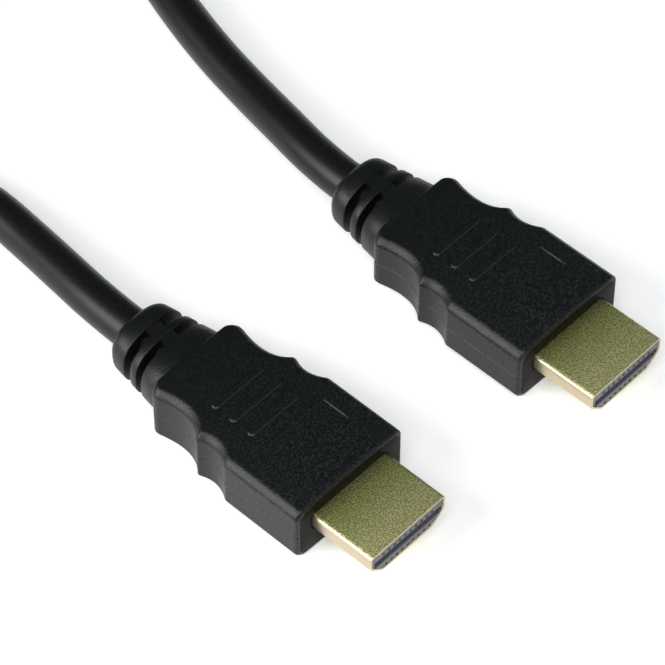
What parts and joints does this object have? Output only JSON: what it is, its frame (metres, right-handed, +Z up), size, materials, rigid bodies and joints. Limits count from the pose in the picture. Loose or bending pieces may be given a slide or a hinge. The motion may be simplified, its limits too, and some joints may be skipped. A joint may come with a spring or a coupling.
{
  "type": "audio and video cable",
  "caption": "Round black video cable with a moulded plug on each end; flat gold shells with chamfered corners, stepped finger grips and slotted strain reliefs; spare length coiled and tied.",
  "frame": {"origin": "on the floor, under the middle of the box round the two plugs", "axes": "-Y the way the plugs push into a socket, +X from the left plug to the right plug, +Z up"},
  "size_m": [0.088, 0.205, 0.013],
  "materials": {
    "moulding": "black soft PVC, fine spark-eroded grain on top, smoother sides",
    "shell": "gold-plated steel, fine satin grain, bright edges",
    "block": "dark grey moulded plastic",
    "contact": "gold-plated spring contacts",
    "cord": "smooth black PVC jacket, soft broad highlight",
    "tie": "black woven strap"
  },
  "bodies": {
    "root": {"left_moulding": "moulding", "left_shell": "shell", "left_block": "block", "left_upper_contact_1": "contact", "left_upper_contact_2": "contact", "left_upper_contact_3": "contact", "left_upper_contact_4": "contact", "left_upper_contact_5": "contact", "left_upper_contact_6": "contact", "left_upper_contact_7": "contact", "left_upper_contact_8": "contact", "left_upper_contact_9": "contact", "left_upper_contact_10": "contact", "left_lower_contact_1": "contact", "left_lower_contact_2": "contact", "left_lower_contact_3": "contact", "left_lower_contact_4": "contact", "left_lower_contact_5": "contact", "left_lower_contact_6": "contact", "left_lower_contact_7": "contact", "left_lower_contact_8": "contact", "left_lower_contact_9": "contact", "right_moulding": "moulding", "right_shell": "shell", "right_block": "block", "right_upper_contact_1": "contact", "right_upper_contact_2": "contact", "right_upper_contact_3": "contact", "right_upper_contact_4": "contact", "right_upper_contact_5": "contact", "right_upper_contact_6": "contact", "right_upper_contact_7": "contact", "right_upper_contact_8": "contact", "right_upper_contact_9": "contact", "right_upper_contact_10": "contact", "right_lower_contact_1": "contact", "right_lower_contact_2": "contact", "right_lower_contact_3": "contact", "right_lower_contact_4": "contact", "right_lower_contact_5": "contact", "right_lower_contact_6": "contact", "right_lower_contact_7": "contact", "right_lower_contact_8": "contact", "right_lower_contact_9": "contact", "left_lead": "cord", "right_lead": "cord", "coil": "cord", "near_tie": "tie", "far_tie": "tie"}
  },
  "joints": []
}
